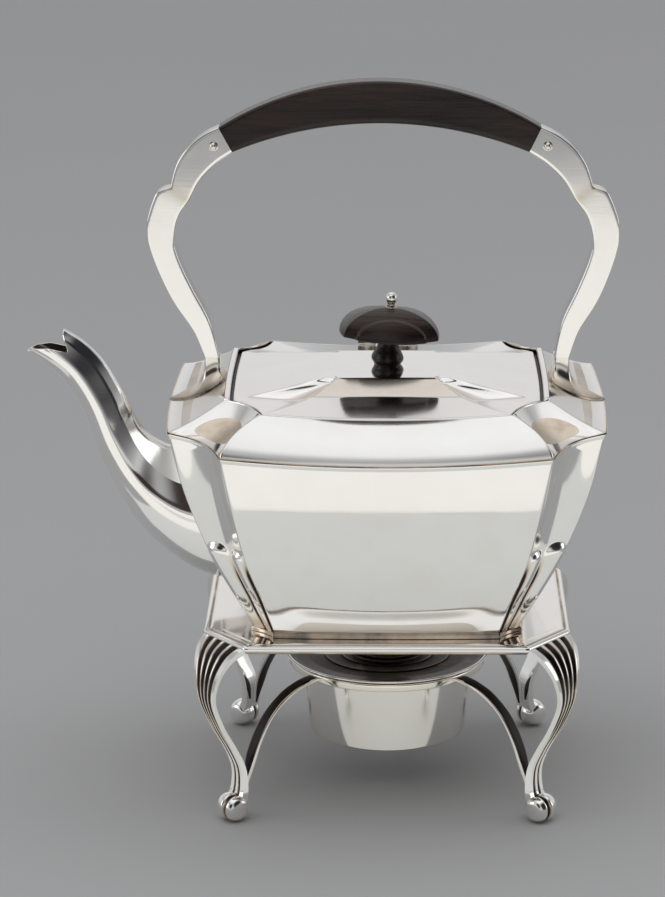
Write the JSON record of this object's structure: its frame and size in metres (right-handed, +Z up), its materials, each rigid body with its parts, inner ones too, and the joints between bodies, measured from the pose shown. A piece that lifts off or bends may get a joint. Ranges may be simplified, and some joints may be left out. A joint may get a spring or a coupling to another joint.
{
  "type": "spirit kettle on stand",
  "caption": "Tapered rectangular silver tea kettle with S spout, ebony bow handle and hinged lid, on a cabriole-legged stand with a spirit burner.",
  "frame": {"origin": "on the floor, midway between the four feet, on the upright axis shared by kettle, tray and burner", "axes": "+Z up, -X towards the spout, -Y towards the front"},
  "size_m": [0.246, 0.157, 0.3],
  "materials": {
    "silver": "polished silver with light warm tarnish in the hollows",
    "ebony": "oiled ebony, fine open grain",
    "brass": "dull turned brass",
    "cotton": "woven cotton wick"
  },
  "bodies": {
    "stand": {"tray_plate": "silver", "burner_ring": "silver", "leg_front_left": "silver", "leg_front_right": "silver", "leg_rear_left": "silver", "leg_rear_right": "silver", "strut_front_left": "silver", "strut_front_right": "silver", "strut_rear_left": "silver", "strut_rear_right": "silver"},
    "burner": {"burner_cup": "silver", "burner_flange": "silver", "wick_collar": "brass", "wick_tube": "brass", "wick": "cotton"},
    "snuffer": {"snuffer_cap": "silver"},
    "kettle": {"grip_rivets": "silver", "handle_arm_left": "silver", "handle_arm_right": "silver", "handle_foot_left": "silver", "handle_foot_right": "silver", "handle_grip": "ebony", "hinge_knuckles_kettle": "silver", "hinge_pin": "silver", "kettle_base": "silver", "kettle_body": "silver", "kettle_shoulder": "silver", "opening_rim": "silver", "spout": "silver"},
    "lid": {"lid_plate": "silver", "lid_bezel": "silver", "hinge_knuckle_lid": "silver", "knob_neck": "ebony", "knob_cap": "ebony", "knob_washer": "silver", "knob_rod": "silver", "knob_finial": "silver", "knob_nut": "brass"}
  },
  "joints": [
    {"name": "kettle_lift", "type": "slide", "parent": "stand", "child": "kettle", "axis": [0, 0, 1], "range_m": [0, 0.1]},
    {"name": "lid_hinge", "type": "hinge", "parent": "kettle", "child": "lid", "pos_m": [0, 0.065, 0.1788], "axis": [-1, 0, 0], "range_deg": [0, 50]},
    {"name": "burner_lift", "type": "slide", "parent": "stand", "child": "burner", "axis": [0, 0, 1], "range_m": [0, 0.005]},
    {"name": "snuffer_lift", "type": "slide", "parent": "burner", "child": "snuffer", "axis": [0, 0, 1], "range_m": [0, 0.006]}
  ]
}
